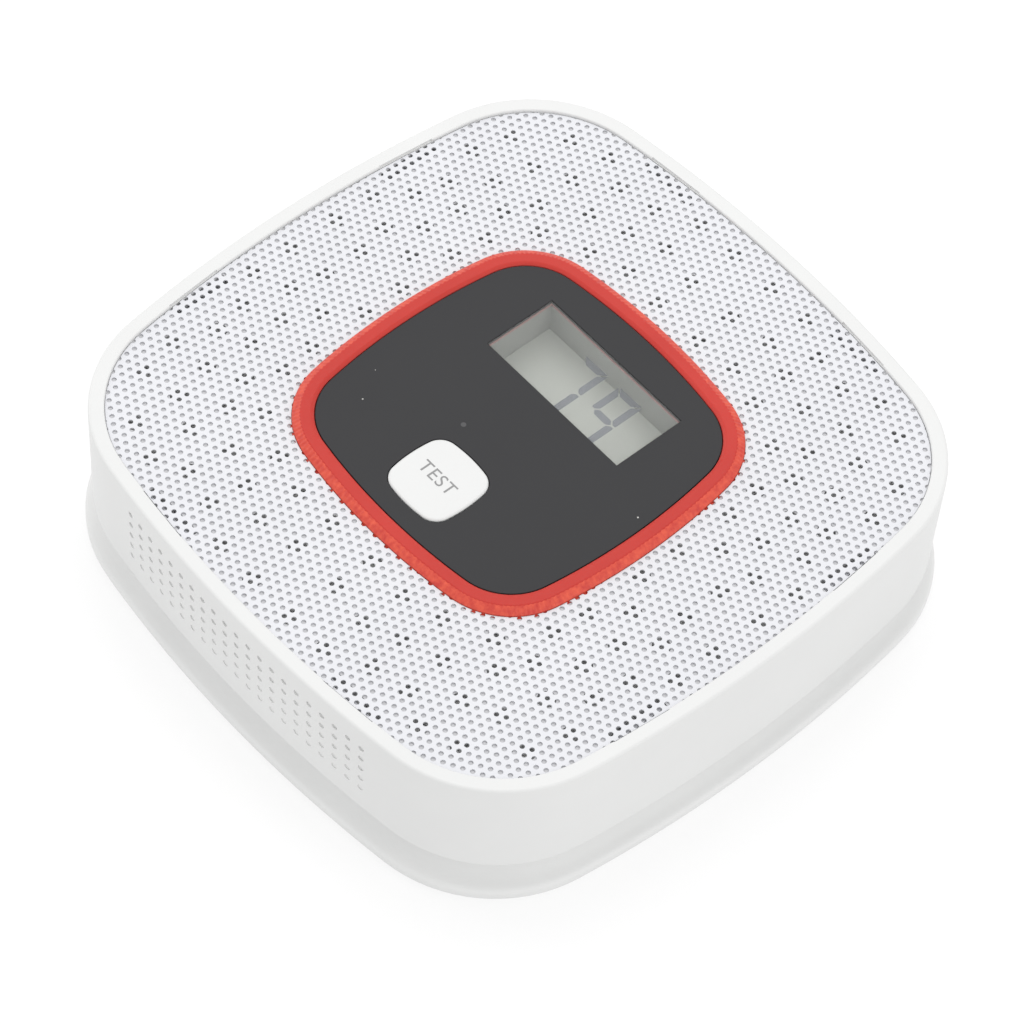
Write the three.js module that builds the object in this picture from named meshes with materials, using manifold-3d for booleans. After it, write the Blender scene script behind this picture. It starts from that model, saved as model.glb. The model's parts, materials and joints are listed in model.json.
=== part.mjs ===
// A battery-powered carbon monoxide detector: a low white square box with bowed sides and round corners,
// with a perforated metal grille on its face, a red light ring round a dark display panel, and a test button.
//
// Millimetres. The origin is the centre of the mounting bracket's back, +Z points out of the display,
// +Y is up when the detector hangs on a wall, and +X is the reader's right.

import * as THREE from "three";
import { mergeGeometries, mergeVertices } from "three/addons/utils/BufferGeometryUtils.js";
import Module from "manifold-3d";

const wasm = await Module();
wasm.setup();

// ---------------------------------------------------------------- driving dimensions

// Every outline is a square with bowed sides: half its width at the middle, and the radii of its sides
// and corners.
const BODY = { half: 54.7, side: 235, corner: 23.4 };
const RING = { half: 29.2, side: 108, corner: 13.4 };
const BUTTON = { half: 6.45, side: 24, corner: 3.1 };
const BRACKET_HOLE = { half: 37, side: 180, corner: 12 };
const BOARD = { half: 38, side: 400, corner: 8 };

// Heights, from the wall outwards.
const BRACKET_TOP = 1.6;
const BACK_Z = 1.9;
const FLOOR_TOP = 3.7;
const COVER_BOTTOM = 9.4;
const LIP_TOP = 11.5;
const BOARD_Z = 19.0;
const BOARD_TOP = 20.6;
const FACE_Z = 26.0;
const FACE_TOP = 28.0;
const GRILLE_Z = 28.3;
const GRILLE_TOP = 28.7;
const RIM_TOP = 29.2;
const PANEL_Z = 28.7;
const PANEL_TOP = 29.5;
const RING_TOP = 29.8;

const WALL = 2.0;
const RIM_WIDTH = 2.5;
const RIM_ROUND = 0.6;
const DRAFT = 0.25; // how far the cover's side wall leans in towards its bottom edge
const FLANGE_OUT = 1.0;
const FIT = 0.3;

// The air vents in the lower side wall.
const VENT_COLUMNS = 21;
const VENT_ROWS = 5;
const VENT_PITCH = 2.66;
const VENT_R = 0.6;
const VENT_Z = 19.3;

// Sound and air openings in the face behind the grille: one quarter of the pattern, row by row outwards.
const OPENING_R = 1.6;
const OPENING_ROWS = [
  [[31.5, 3.5], [31.5, 14], [30.8, 20.2], [26.3, 27.4], [18.8, 31], [12, 33], [4.5, 32.5]],
  [[35.5, 8.8], [38.3, 14.3], [37.8, 20.5], [33.2, 25.8], [30.7, 31], [24.4, 35.8], [17.9, 38], [4.5, 39.3]],
  [[41, 3.6], [42.6, 9.5], [44.4, 17.2], [43, 23.2], [38.9, 28.6], [37.1, 35.4], [31.2, 38.2], [25.1, 43]],
  [[18.6, 44.5], [11.8, 40.8], [48.3, 4.5], [48.3, 11.8], [45.6, 30.1], [43.9, 36.7], [37.1, 43.6]],
  [[30.8, 45.9], [11.9, 47.8], [4.2, 48.2]],
];

// The grille's eight bent tabs, two on each side, and the slots that they go through.
const TAB_AT = 21;
const TAB_WIDTH = 10;
const TAB_X = 50.1;
const TAB_THICK = 0.6;
const TAB_LIP = { from: 46.6, z0: 25.1, z1: 25.7 };
const SLOT = { from: 48.2, to: 51.0, length: 10.8 };

// The display window and the liquid-crystal display below it.
const WINDOW = { x: 0, y: 13.1, halfX: 14.75, halfY: 6.55 };
const DISPLAY_TOP = 24.4;
const STATUS = { x: -5.4, y: -6.3 };
const BUTTON_Y = -15.9;
const BUTTON_TOP = 29.75;

// Screw places.
const CORNER_SCREW = 40.5;
const BOARD_SCREW = { x: 34.5, y: 18 };

// Batteries: two cells side by side, pointing opposite ways.
const CELL = { radius: 7.1, length: 49, nubRadius: 2.7, nubLength: 1.4, z: 11.15 };
const CELL_Y = [24.2, 9.0];
const CELL_END = 26.4;
const BAY = { x: 28.6, y0: 1.0, y1: 32.2, wall: 1.2, top: 15 };
const DOOR = { x: 28.0, y0: -1.6, y1: 31.6, thick: 1.5, gap: 0.4 };
const DOOR_PIN = { radius: 0.6, reach: 1.3 };

// The twist lock: four lugs on the bracket, and the curved slots in the back cover that they turn in.
const TWIST = 12;
const LUG = { r0: 44, rPost: 46.6, rHead: 49, half: 3.5, headZ: 4.1, top: 5.3 };
const LUG_SLOT = { r0: 43.6, rNarrow: 47.0, rWide: 49.4, play: 4.8 };

// ---------------------------------------------------------------- colours

function paint(color, roughness, metalness = 0) {
  return new THREE.MeshStandardMaterial({ color, roughness, metalness });
}

const WHITE_PLASTIC = paint(0xf0f0ee, 0.45);
const WHITE_METAL = paint(0xeeeef4, 0.5, 0.1);
const RED_LENS = paint(0xe0352c, 0.25);
const DARK_PANEL = paint(0x3e3d40, 0.4);
const CLEAR = paint(0xdfe6e0, 0.1);
const DISPLAY_GLASS = paint(0xb4bcb2, 0.25);
const BLACK_PLASTIC = paint(0x1c1c1e, 0.5);
const BOARD_GREEN = paint(0x1f6a3c, 0.45);
const STEEL = paint(0xb9bcc0, 0.3, 1);
const CELL_WRAP = paint(0x2d5f8a, 0.35);
const RUBBER = paint(0x35363a, 0.8);

// ---------------------------------------------------------------- outlines

// Points of a bowed-side square, anticlockwise, moved inwards by inset at every point.
function outline(shape, inset = 0, cornerSteps = 6, sideSteps = 6) {
  const half = shape.half - inset;
  const side = shape.side - inset;
  const corner = shape.corner - inset;
  // A side's arc is centred at middle on its own axis, and a corner's at (q, q).
  const middle = half - side;
  const q = (middle + Math.sqrt(2 * (side - corner) ** 2 - middle ** 2)) / 2;
  const meet = Math.atan2(q, q - middle);
  const points = [];
  for (let quarter = 0; quarter < 4; quarter++) {
    const turn = (quarter * Math.PI) / 2;
    const add = (x, y) => points.push(new THREE.Vector2(x, y).rotateAround(new THREE.Vector2(), turn));
    for (let i = 0; i < sideSteps; i++) {
      const a = -meet + (2 * meet * i) / sideSteps;
      add(middle + side * Math.cos(a), side * Math.sin(a));
    }
    for (let i = 0; i < cornerSteps; i++) {
      const a = meet + ((Math.PI / 2 - 2 * meet) * i) / cornerSteps;
      add(q + corner * Math.cos(a), q + corner * Math.sin(a));
    }
  }
  return points;
}

function circle(radius, x = 0, y = 0, steps = 16) {
  return Array.from({ length: steps }, (_, i) => {
    const a = (2 * Math.PI * i) / steps;
    return new THREE.Vector2(x + radius * Math.cos(a), y + radius * Math.sin(a));
  });
}

function rectangle(halfX, halfY, x = 0, y = 0) {
  const signs = [[-1, -1], [1, -1], [1, 1], [-1, 1]];
  return signs.map(([i, j]) => new THREE.Vector2(x + i * halfX, y + j * halfY));
}

// A piece of a ring about the origin, between two radii and two angles in degrees.
function sector(r0, r1, from, to, steps = 4) {
  const at = (r, degrees) => {
    const a = THREE.MathUtils.degToRad(degrees);
    return new THREE.Vector2(r * Math.cos(a), r * Math.sin(a));
  };
  const angles = Array.from({ length: steps + 1 }, (_, i) => from + ((to - from) * i) / steps);
  return [...angles.map((a) => at(r1, a)), ...angles.reverse().map((a) => at(r0, a))];
}

// ---------------------------------------------------------------- solids

// A flat plate between two heights, with holes through it.
function plate(points, z0, z1, holes = []) {
  const shape = new THREE.Shape(points);
  shape.holes = holes.map((hole) => new THREE.Path(hole));
  return new THREE.ExtrudeGeometry(shape, { depth: z1 - z0, bevelEnabled: false }).translate(0, 0, z0);
}

// A solid whose outline changes with height: levels are [z, inset], from the bottom up.
function stack(shape, levels) {
  const rings = levels.map(([z, inset]) => outline(shape, inset).map((p) => [p.x, p.y, z]));
  const count = rings[0].length;
  const indices = [];
  for (let level = 0; level < rings.length - 1; level++) {
    for (let i = 0; i < count; i++) {
      const a = level * count + i;
      const b = level * count + ((i + 1) % count);
      indices.push(a, b, b + count, a, b + count, a + count);
    }
  }
  const cap = THREE.ShapeUtils.triangulateShape(outline(shape, levels[0][1]), []);
  const top = (rings.length - 1) * count;
  for (const [a, b, c] of cap) {
    indices.push(c, b, a, top + a, top + b, top + c);
  }
  const geometry = new THREE.BufferGeometry();
  geometry.setAttribute("position", new THREE.Float32BufferAttribute(rings.flat(2), 3));
  geometry.setIndex(indices);
  return geometry;
}

function box(x0, x1, y0, y1, z0, z1) {
  const geometry = new THREE.BoxGeometry(x1 - x0, y1 - y0, z1 - z0);
  return geometry.translate((x0 + x1) / 2, (y0 + y1) / 2, (z0 + z1) / 2);
}

function post(radius, z0, z1, x = 0, y = 0, steps = 12) {
  return plate(circle(radius, x, y, steps), z0, z1);
}

// A cylinder lying along X.
function bar(radius, x0, x1, y, z, steps = 12) {
  const geometry = new THREE.CylinderGeometry(radius, radius, x1 - x0, steps).rotateZ(Math.PI / 2);
  return geometry.translate((x0 + x1) / 2, y, z);
}

// A solid of revolution about a vertical axis: profile points are [radius, z], from the axis to the axis.
function turned(profile, x = 0, y = 0, steps = 20) {
  const points = profile.map(([r, z]) => new THREE.Vector2(r, z));
  return new THREE.LatheGeometry(points, steps).rotateX(Math.PI / 2).translate(x, y, 0);
}

// A closed geometry as a manifold-3d solid.
function solid(geometry) {
  if (geometry instanceof wasm.Manifold) return geometry;
  const bare = new THREE.BufferGeometry().setAttribute("position", geometry.getAttribute("position"));
  if (geometry.index) bare.setIndex(geometry.index);
  const merged = mergeVertices(bare, 1e-4);
  return new wasm.Manifold(
    new wasm.Mesh({
      numProp: 3,
      vertProperties: new Float32Array(merged.attributes.position.array),
      triVerts: new Uint32Array(merged.index.array),
    }),
  );
}

const join = (...pieces) => pieces.map(solid).reduce((a, b) => a.add(b));
const cut = (body, ...tools) => tools.map(solid).reduce((a, b) => a.subtract(b), solid(body));

function geometryOf(shape) {
  if (!(shape instanceof wasm.Manifold)) return shape;
  const mesh = shape.getMesh();
  const geometry = new THREE.BufferGeometry();
  geometry.setAttribute("position", new THREE.Float32BufferAttribute(mesh.vertProperties, 3));
  geometry.setIndex(new THREE.Uint32BufferAttribute(mesh.triVerts, 1));
  return geometry;
}

const detector = new THREE.Group();

function add(name, shape, material) {
  const mesh = new THREE.Mesh(geometryOf(shape), material);
  mesh.name = name;
  detector.add(mesh);
  return mesh;
}

// The four corners and the four sides, for what repeats.
const CORNERS = [[1, 1], [-1, 1], [-1, -1], [1, -1]];
const QUARTER_TURNS = [0, 90, 180, 270];
const turnedBy = (geometry, degrees) => geometry.clone().rotateZ(THREE.MathUtils.degToRad(degrees));

// ---------------------------------------------------------------- front cover

// What is cut out of the cover's face: the openings and the slots for the grille's tabs.
function faceDrills() {
  const openings = OPENING_ROWS.flat().flatMap(([x, y]) =>
    CORNERS.map(([i, j]) => circle(OPENING_R, i * x, j * y, 6)));
  const slots = CORNERS.flatMap(([i, j]) => {
    const middle = (SLOT.from + SLOT.to) / 2;
    const halfWidth = (SLOT.to - SLOT.from) / 2;
    return [
      rectangle(halfWidth, SLOT.length / 2, i * middle, j * TAB_AT),
      rectangle(SLOT.length / 2, halfWidth, i * TAB_AT, j * middle),
    ];
  });
  return mergeGeometries([...openings, ...slots].map((hole) => plate(hole, FACE_Z - 1, FACE_TOP + 1)));
}

// The grid of round vents through the lower side wall, as one set of drills.
function ventDrills() {
  const drills = [];
  for (let column = 0; column < VENT_COLUMNS; column++) {
    for (let row = 0; row < VENT_ROWS; row++) {
      const drill = new THREE.CylinderGeometry(VENT_R, VENT_R, 10, 6);
      const x = (column - (VENT_COLUMNS - 1) / 2) * VENT_PITCH;
      const z = VENT_Z + (row - (VENT_ROWS - 1) / 2) * VENT_PITCH;
      drills.push(drill.translate(x, -BODY.half + 3, z));
    }
  }
  return mergeGeometries(drills);
}

function frontCover() {
  const edge = [0, 1, 2, 3].map((i) => {
    const a = (i * Math.PI) / 6;
    return [RIM_TOP - RIM_ROUND * (1 - Math.sin(a)), RIM_ROUND * (1 - Math.cos(a))];
  });
  const outside = stack(BODY, [[COVER_BOTTOM, DRAFT + 0.3], [COVER_BOTTOM + 0.3, DRAFT], ...edge]);
  const inside = stack(BODY, [[COVER_BOTTOM - 1, WALL], [FACE_Z, WALL]]);
  const tray = stack(BODY, [
    [FACE_TOP, RIM_WIDTH],
    [RIM_TOP - 0.3, RIM_WIDTH],
    [RIM_TOP + 0.2, RIM_WIDTH - 0.5],
  ]);
  const ringWay = stack(RING, [[FACE_Z - 1, -FIT], [FACE_TOP + 1, -FIT]]);
  const shell = cut(outside, inside, tray, ringWay, faceDrills(), ventDrills());
  const bosses = CORNERS.map(([i, j]) =>
    plate(circle(3.0, i * CORNER_SCREW, j * CORNER_SCREW, 12), 10, FACE_Z + 0.5));
  const posts = CORNERS.map(([i, j]) =>
    plate(circle(2.2, i * BOARD_SCREW.x, j * BOARD_SCREW.y, 12), BOARD_TOP + FIT, FACE_Z + 0.5));
  const bores = CORNERS.flatMap(([i, j]) => [
    post(1.35, 9, 18, i * CORNER_SCREW, j * CORNER_SCREW, 10),
    post(1.1, BOARD_TOP, 25.2, i * BOARD_SCREW.x, j * BOARD_SCREW.y, 8),
  ]);
  return cut(join(shell, ...bosses, ...posts), ...bores);
}

add("front_cover", frontCover(), WHITE_PLASTIC);

// ---------------------------------------------------------------- grille

// One bent tab on the +X side: it drops through its slot and turns inwards under the face.
function grilleTab() {
  const outer = TAB_X + TAB_THICK;
  const y0 = TAB_AT - TAB_WIDTH / 2;
  const y1 = TAB_AT + TAB_WIDTH / 2;
  const drop = box(TAB_X, outer, y0, y1, TAB_LIP.z0, GRILLE_Z + 0.3);
  const lip = box(TAB_LIP.from, outer, y0, y1, TAB_LIP.z0, TAB_LIP.z1);
  return join(drop, lip);
}

function grille() {
  const sheet = plate(outline(BODY, RIM_WIDTH + FIT), GRILLE_Z, GRILLE_TOP, [outline(RING, -0.25)]);
  const tab = geometryOf(grilleTab());
  const mirrored = geometryOf(solid(tab).mirror([0, 1, 0]));
  const tabs = QUARTER_TURNS.flatMap((turn) => [turnedBy(tab, turn), turnedBy(mirrored, turn)]);
  return join(sheet, ...tabs);
}

add("grille", grille(), WHITE_METAL);

// ---------------------------------------------------------------- red light ring and display panel

const statusHole = (radius) => circle(radius, STATUS.x, STATUS.y, 10);
const windowHole = (grow) => rectangle(WINDOW.halfX + grow, WINDOW.halfY + grow, WINDOW.x, WINDOW.y);
const buttonHole = (gap) => outline(BUTTON, -gap, 4, 2).map((p) => new THREE.Vector2(p.x, p.y + BUTTON_Y));

// The ring is the rim of one red lens: a plate under the panel, an upright edge, a flange behind the face.
function lightGuide() {
  const body = stack(RING, [[24.2, 0], [RING_TOP - 0.25, 0], [RING_TOP, 0.25]]);
  const flange = stack(RING, [[24.2, -1.5], [25.7, -1.5]]);
  const recess = stack(RING, [[PANEL_Z - 0.1, 3.45], [RING_TOP - 0.2, 3.45], [RING_TOP + 0.2, 3.05]]);
  const pocket = stack(RING, [[24, 2.4], [26.9, 2.4]]);
  const windowCut = plate(windowHole(-0.25), 26, 29);
  const buttonCut = plate(buttonHole(0.4), 26, 29);
  const statusCut = plate(statusHole(1.05), 26, 29);
  return cut(join(body, flange), recess, pocket, windowCut, buttonCut, statusCut);
}

add("light_guide", lightGuide(), RED_LENS);
add(
  "display_panel",
  plate(outline(RING, 3.45 + 0.15), PANEL_Z, PANEL_TOP, [windowHole(0), buttonHole(FIT), statusHole(0.85)]),
  DARK_PANEL,
);
add("display_window", plate(windowHole(-0.1), PANEL_Z, PANEL_TOP), CLEAR);

function statusLightPipe() {
  const pipe = post(0.75, 26, PANEL_TOP - 0.05, STATUS.x, STATUS.y, 10);
  const foot = post(1.6, 25.8, 26.6, STATUS.x, STATUS.y, 10);
  return join(pipe, foot);
}

add("status_light_pipe", statusLightPipe(), CLEAR);

// ---------------------------------------------------------------- test button and its switch

function buttonCap() {
  const crown = [[BUTTON_TOP - 0.35, 0], [BUTTON_TOP - 0.1, 0.12], [BUTTON_TOP, 0.4]];
  const cap = stack(BUTTON, [[26.0, 0], ...crown]);
  const flange = stack(BUTTON, [[25.2, -1.7], [26.3, -1.7]]);
  const boss = post(2.2, 25.05, 26);
  return geometryOf(join(cap, flange, boss)).translate(0, BUTTON_Y, 0);
}

function switchBody() {
  const body = box(-3, 3, BUTTON_Y - 3, BUTTON_Y + 3, BOARD_TOP + 0.1, 24);
  return cut(body, post(2.0, 23, 25, 0, BUTTON_Y));
}

add("button_cap", buttonCap(), WHITE_PLASTIC);
add("switch_plunger", post(1.7, 23.6, 24.75, 0, BUTTON_Y), BLACK_PLASTIC);
add("switch_body", switchBody(), BLACK_PLASTIC);

// ---------------------------------------------------------------- display module

function displayFrame() {
  const wall = plate(rectangle(19.2, 10.6, WINDOW.x, WINDOW.y), BOARD_TOP + 0.1, 25.4, [
    rectangle(18.1, 9.5, WINDOW.x, WINDOW.y),
  ]);
  const lip = plate(rectangle(18.6, 10, WINDOW.x, WINDOW.y), 24.8, 25.4, [
    rectangle(16.6, 8.2, WINDOW.x, WINDOW.y),
  ]);
  return join(wall, lip);
}

add("display_frame", displayFrame(), BLACK_PLASTIC);
add("display_glass", plate(rectangle(17.8, 9.2, WINDOW.x, WINDOW.y), 22.2, DISPLAY_TOP), DISPLAY_GLASS);
add("display_reflector", plate(rectangle(17, 7, WINDOW.x, WINDOW.y), 21, 21.9), WHITE_PLASTIC);
for (const [name, side] of [["contact_strip_upper", 1], ["contact_strip_lower", -1]]) {
  add(name, plate(rectangle(16, 0.8, WINDOW.x, WINDOW.y + side * 8.3), BOARD_TOP + 0.1, 22.1), RUBBER);
}

// ---------------------------------------------------------------- circuit board and what it carries

const boardHoles = CORNERS.map(([i, j]) => circle(1.25, i * BOARD_SCREW.x, j * BOARD_SCREW.y, 10));
add("circuit_board", plate(outline(BOARD), BOARD_Z, BOARD_TOP, boardHoles), BOARD_GREEN);

CORNERS.forEach(([i, j], n) => {
  const led = join(
    box(-1.6, 1.6, -1.4, 1.4, BOARD_TOP + 0.1, BOARD_TOP + 1.1),
    post(1.1, BOARD_TOP + 1, BOARD_TOP + 1.6, 0, 0, 8),
  );
  add(`alarm_led_${n + 1}`, geometryOf(led).translate(i * 24, j * 24, 0), RED_LENS);
});
add(
  "status_led",
  box(STATUS.x - 1, STATUS.x + 1, STATUS.y - 0.6, STATUS.y + 0.6, BOARD_TOP + 0.1, BOARD_TOP + 0.9),
  CLEAR,
);
add("controller_chip", box(8, 17, -8, 1, BOARD_TOP + 0.1, BOARD_TOP + 1.5), BLACK_PLASTIC);

// The gas sensor is a steel can under the board with its inlet at the bottom.
const SENSOR = { x: -20, y: -24, radius: 10 };
function gasSensor() {
  const can = turned(
    [[0, 7.5], [6.5, 7.5], [6.5, 8.3], [9.4, 8.3], [SENSOR.radius, 9], [SENSOR.radius, 17.8], [0, 17.8]],
    SENSOR.x,
    SENSOR.y,
  );
  const inlet = post(1.2, 6.5, 8.6, SENSOR.x, SENSOR.y, 10);
  const pins = [-6, 0, 6].map((x) => post(0.5, 17, BOARD_Z - 0.1, SENSOR.x + x, SENSOR.y, 6));
  return join(cut(can, inlet), ...pins);
}
add("gas_sensor", gasSensor(), STEEL);

// The sounder: a round resonator case with a central port, hung under the board on two pins.
const SOUNDER = { x: 18, y: -25, radius: 12 };
function sounder() {
  const shell = turned(
    [[0, 9.6], [11.2, 9.6], [SOUNDER.radius, 10.4], [SOUNDER.radius, 18], [0, 18]],
    SOUNDER.x,
    SOUNDER.y,
  );
  const port = post(2.4, 9, 12, SOUNDER.x, SOUNDER.y);
  const pins = [-7.5, 7.5].map((x) => post(0.5, 17.5, BOARD_Z - 0.1, SOUNDER.x + x, SOUNDER.y, 6));
  return join(cut(shell, port), ...pins);
}
add("sounder", sounder(), BLACK_PLASTIC);
add(
  "capacitor",
  turned([[0, 11.5], [2.9, 11.5], [3.2, 12], [3.2, 18.7], [0, 18.7]], 0, -33, 14),
  RUBBER,
);

// ---------------------------------------------------------------- batteries and contacts

function cell(y, direction) {
  const start = CELL_END - CELL.length;
  const body = bar(CELL.radius, start, CELL_END, 0, 0, 20);
  const nub = bar(CELL.nubRadius, CELL_END - 0.5, CELL_END + CELL.nubLength, 0, 0, 12);
  const shape = geometryOf(join(body, nub));
  if (direction < 0) shape.rotateZ(Math.PI);
  return shape.translate(0, y, CELL.z);
}

// A conical spring with its end plate, for a cell whose flat end is at -X.
class ConeHelix extends THREE.Curve {
  constructor(fromX, toX, fromR, toR, turns) {
    super();
    Object.assign(this, { fromX, toX, fromR, toR, turns });
  }
  getPoint(t) {
    const a = 2 * Math.PI * this.turns * t;
    const r = THREE.MathUtils.lerp(this.fromR, this.toR, t);
    const x = THREE.MathUtils.lerp(this.fromX, this.toX, t);
    return new THREE.Vector3(x, r * Math.cos(a), r * Math.sin(a));
  }
}

const CONTACT_X = 28.1;
const CONTACT_THICK = 0.4;
const contactPlate = () => box(CONTACT_X, CONTACT_X + CONTACT_THICK, -4.6, 4.6, 5 - CELL.z, 18.7 - CELL.z);

function springContact(y, direction) {
  const spring = new ConeHelix(CONTACT_X, -(CELL_END - CELL.length) + 0.7, 4, 2.6, 3);
  const wire = new THREE.ExtrudeGeometry(new THREE.Shape(circle(0.4, 0, 0, 6)), {
    extrudePath: spring,
    steps: 36,
    bevelEnabled: false,
  });
  const shape = geometryOf(join(contactPlate(), wire));
  if (direction > 0) shape.rotateZ(Math.PI);
  return shape.translate(0, y, CELL.z);
}

function plateContact(y, direction) {
  const dimple = bar(2.2, CONTACT_X - 0.1, CONTACT_X + 0.1, 0, 0, 10);
  const shape = geometryOf(join(contactPlate(), dimple));
  if (direction < 0) shape.rotateZ(Math.PI);
  return shape.translate(0, y, CELL.z);
}

[[CELL_Y[0], 1], [CELL_Y[1], -1]].forEach(([y, direction], n) => {
  add(`battery_${n + 1}`, cell(y, direction), CELL_WRAP);
  add(`spring_contact_${n + 1}`, springContact(y, direction), STEEL);
  add(`plate_contact_${n + 1}`, plateContact(y, direction), STEEL);
});

// ---------------------------------------------------------------- back cover

// Angles of a curved slot, measured from its lug: the lug runs clockwise in the cover as the cover turns.
const SLOT_FROM = -TWIST - LUG_SLOT.play;
const SLOT_TO = LUG_SLOT.play;
const WIDE_TO = -TWIST + LUG_SLOT.play;

// A broad flange with a round edge, a hollow curve in to the neck, and the neck up inside the front cover.
function backCover() {
  const neck = WALL + FIT;
  const outside = stack(BODY, [
    [BACK_Z, -FLANGE_OUT + 0.3],
    [BACK_Z + 0.3, -FLANGE_OUT],
    [3.0, -FLANGE_OUT],
    [3.4, -FLANGE_OUT + 0.2],
    [3.65, -FLANGE_OUT + 0.6],
    [4.1, 0.6],
    [4.6, 1.2],
    [5.4, 1.8],
    [6.6, 2.2],
    [7.4, neck],
    [LIP_TOP, neck],
  ]);
  const inside = stack(BODY, [[FLOOR_TOP, neck + 1.7], [LIP_TOP + 1, neck + 1.7]]);
  const bayMiddle = (BAY.y0 + BAY.y1) / 2;
  const bayHalf = (BAY.y1 - BAY.y0) / 2;
  const bayOuter = rectangle(BAY.x + BAY.wall, bayHalf + BAY.wall, 0, bayMiddle);
  const bay = plate(bayOuter, FLOOR_TOP - 0.5, BAY.top, [rectangle(BAY.x, bayHalf, 0, bayMiddle)]);
  const atCorner = (radius, z0, z1, steps) =>
    CORNERS.map(([i, j]) => post(radius, z0, z1, i * CORNER_SCREW, j * CORNER_SCREW, steps));
  const towers = atCorner(4.2, FLOOR_TOP - 0.5, 9.7, 14);
  const screwWays = [...atCorner(3.0, BACK_Z - 1, 7.7, 14), ...atCorner(1.5, 7, 10.5, 10)];
  const doorHalf = DOOR.x + DOOR.gap;
  const doorY0 = DOOR.y0 - DOOR.gap;
  const doorway = box(-doorHalf, doorHalf, doorY0, DOOR.y1 + DOOR.gap, BACK_Z - 1, FLOOR_TOP + 0.5);
  const pinReach = DOOR.x + DOOR_PIN.reach + DOOR.gap;
  const pinWay = box(-pinReach, pinReach, doorY0, DOOR.y0 + 1.9, BACK_Z - 1, FLOOR_TOP - 0.1);
  const fingerRecess = box(-7, 7, DOOR.y1, DOOR.y1 + 5, BACK_Z - 1, BACK_Z + 0.9);
  const narrow = sector(LUG_SLOT.r0, LUG_SLOT.rNarrow, SLOT_FROM, SLOT_TO);
  const wide = sector(LUG_SLOT.r0, LUG_SLOT.rWide, SLOT_FROM, WIDE_TO);
  const lugWays = QUARTER_TURNS.flatMap((turn) =>
    [narrow, wide].map((way) => turnedBy(plate(way, BACK_Z - 1, FLOOR_TOP + 1), turn)));
  const body = join(cut(outside, inside), bay, ...towers);
  return cut(body, ...screwWays, doorway, pinWay, fingerRecess, ...lugWays);
}

add("back_cover", backCover(), WHITE_PLASTIC);

// ---------------------------------------------------------------- battery door

// A plate with a round hinged edge, two end pins, and a springy tongue between two slits at the other edge.
const HINGE_Y = DOOR.y0 + DOOR.thick / 2;
const HINGE_Z = BACK_Z + DOOR.thick / 2;

function batteryDoor() {
  const leaf = box(-DOOR.x, DOOR.x, HINGE_Y, DOOR.y1, BACK_Z, BACK_Z + DOOR.thick);
  const edge = bar(DOOR.thick / 2 - 0.001, -DOOR.x, DOOR.x, HINGE_Y, HINGE_Z, 12);
  const pinEnd = DOOR.x + DOOR_PIN.reach;
  const pins = bar(DOOR_PIN.radius, -pinEnd, pinEnd, HINGE_Y, HINGE_Z, 10);
  const slits = [-5.8, 5].map((x) => box(x, x + 0.8, 24, DOOR.y1 + 1, BACK_Z - 1, BACK_Z + 3));
  const grips = [26.5, 28, 29.5].map((y) => box(-4, 4, y, y + 0.6, BACK_Z - 1, BACK_Z + 0.3));
  return cut(join(leaf, edge, pins), ...slits, ...grips);
}

add("battery_door", batteryDoor(), WHITE_PLASTIC);

// ---------------------------------------------------------------- mounting bracket

const WALL_SCREW = { x: 21, y: 46.3 };

function mountingBracket() {
  const outside = stack(BODY, [[0, -0.2], [0.3, -0.5], [BRACKET_TOP, -0.5]]);
  const opening = stack(BRACKET_HOLE, [[-1, 0], [BRACKET_TOP + 1, 0]]);
  const screwHoles = CORNERS.map(([i, j]) =>
    turned([[0, -1], [2.1, -1], [2.1, 0.2], [3.9, 2], [0, 2]], i * WALL_SCREW.x, j * WALL_SCREW.y, 14));
  const lugs = QUARTER_TURNS.flatMap((turn) => [
    turnedBy(box(LUG.r0, LUG.rPost, -LUG.half, LUG.half, BRACKET_TOP - 0.5, LUG.top), turn),
    turnedBy(box(LUG.r0, LUG.rHead, -LUG.half, LUG.half, LUG.headZ, LUG.top), turn),
  ]);
  return cut(join(cut(outside, opening), ...lugs), ...screwHoles);
}

add("mounting_bracket", mountingBracket(), WHITE_PLASTIC);

// ---------------------------------------------------------------- screws

// A pan-head screw pointing up, with a cross recess: its head starts at z0.
function screw(headRadius, headHeight, shankRadius, length, z0, x, y) {
  const profile = [
    [0, z0],
    [headRadius * 0.75, z0],
    [headRadius, z0 + headHeight * 0.5],
    [headRadius, z0 + headHeight],
    [shankRadius, z0 + headHeight],
    [shankRadius, z0 + headHeight + length - 1],
    [shankRadius * 0.4, z0 + headHeight + length],
    [0, z0 + headHeight + length],
  ];
  const arm = headRadius * 0.55;
  const recess = box(-arm, arm, -0.3, 0.3, z0 - 1, z0 + 0.8);
  const cross = join(recess, turnedBy(recess, 90));
  return geometryOf(cut(turned(profile, 0, 0, 12), cross)).translate(x, y, 0);
}

CORNERS.forEach(([i, j], n) => {
  add(`housing_screw_${n + 1}`, screw(2.6, 1.8, 1.2, 9.5, 5.8, i * CORNER_SCREW, j * CORNER_SCREW), STEEL);
  add(`board_screw_${n + 1}`, screw(2.0, 1.3, 0.9, 5, 17.6, i * BOARD_SCREW.x, j * BOARD_SCREW.y), STEEL);
});

export default detector;
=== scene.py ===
# %% [markdown]
# # A carbon monoxide detector
#
# A square white box with bowed sides, about 111 mm across and 30 mm high, lying on its back. Its face is a
# sheet of perforated metal. In the middle stands a red light ring round a dark panel, which holds a small
# liquid-crystal display and a test button.
#
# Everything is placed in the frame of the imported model: metres, the origin at the centre of the wall
# bracket's back, +Z out of the display, +Y towards the top of the display.

import math

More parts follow.
